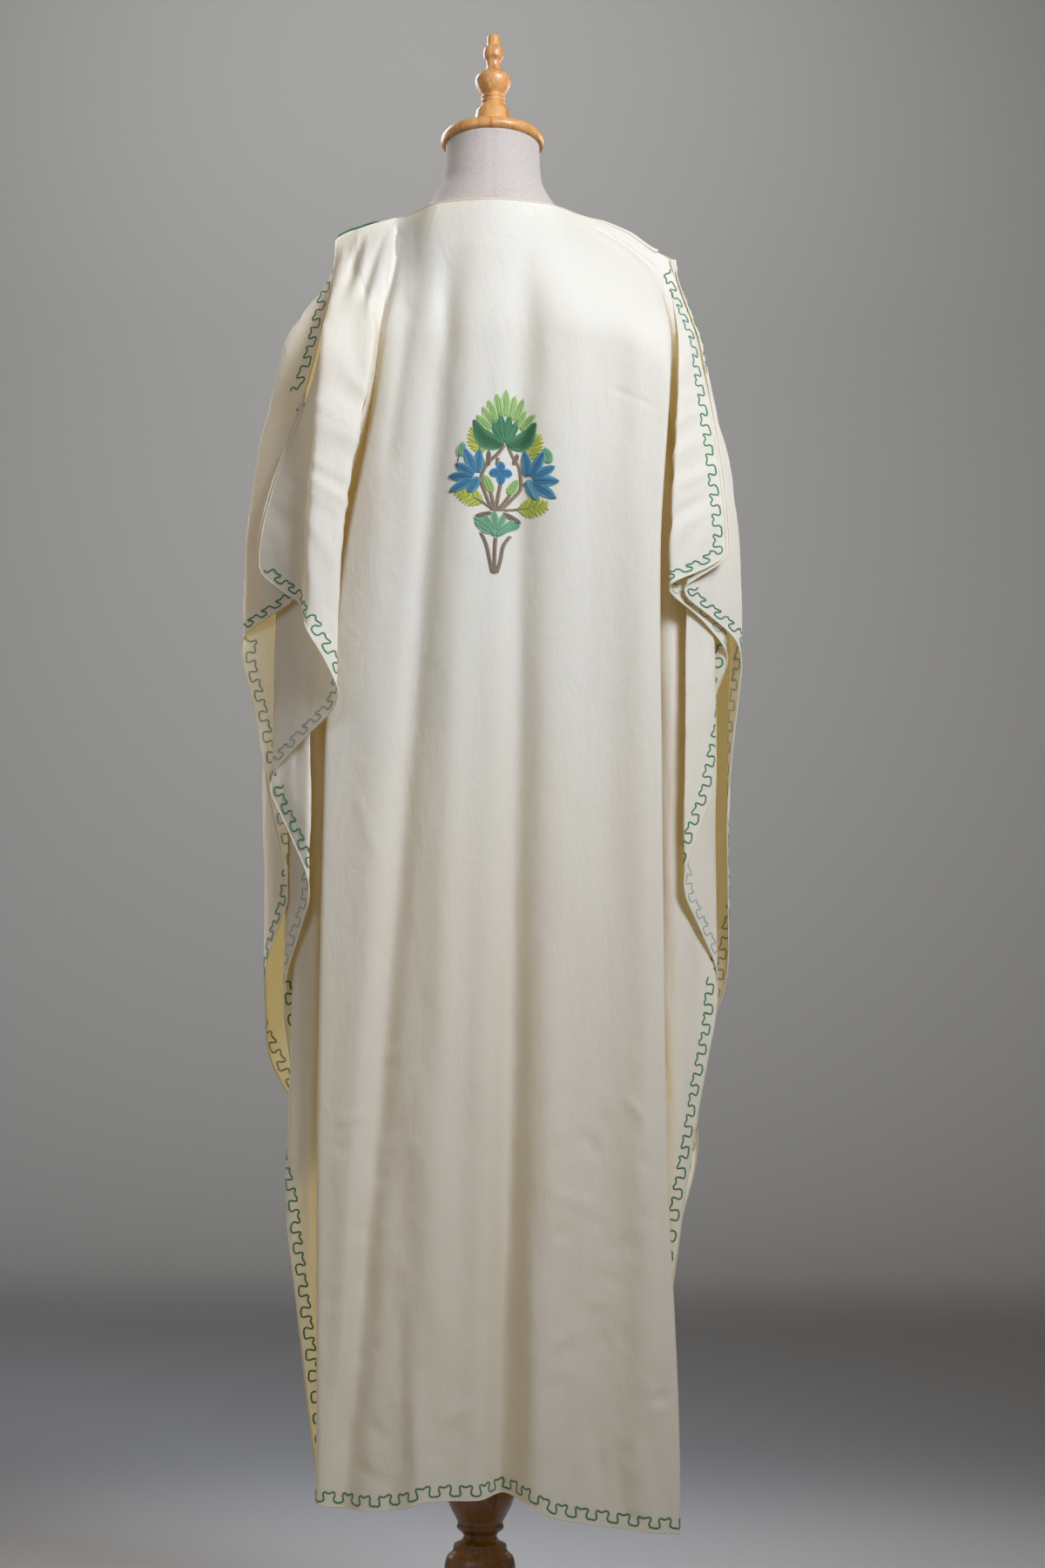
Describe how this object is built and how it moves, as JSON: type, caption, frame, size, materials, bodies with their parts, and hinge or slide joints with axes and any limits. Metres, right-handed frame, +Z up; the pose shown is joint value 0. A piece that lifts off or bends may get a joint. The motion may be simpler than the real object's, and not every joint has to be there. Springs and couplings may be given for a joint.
{
  "type": "embroidered kaftan on a limbless dress form with a turned wooden stand",
  "caption": "Long cream kaftan with wide hanging wing sleeves, draped on a limbless linen dress form with a turned wooden neck cap and stand.",
  "frame": {"origin": "centre of the underside of the stand's round base", "axes": "+Z up along the stand; the kaftan's back faces -Y and its front +Y; +X is to the right when looking at the back"},
  "size_m": [0.5437, 0.33, 1.8093],
  "materials": {
    "kaftan_cloth": "matt cream crepe",
    "form_linen": "plain grey-beige linen",
    "honey_wood": "varnished honey-coloured wood",
    "dark_wood": "varnished dark brown wood"
  },
  "bodies": {
    "root": {"stand_base": "dark_wood", "stand_stem": "dark_wood", "dress_form": "form_linen", "neck_cap": "honey_wood", "finial": "honey_wood", "back_panel": "kaftan_cloth", "front_panel": "kaftan_cloth", "back_wing_left": "kaftan_cloth", "back_wing_right": "kaftan_cloth", "front_wing_left": "kaftan_cloth", "front_wing_right": "kaftan_cloth"}
  },
  "joints": []
}
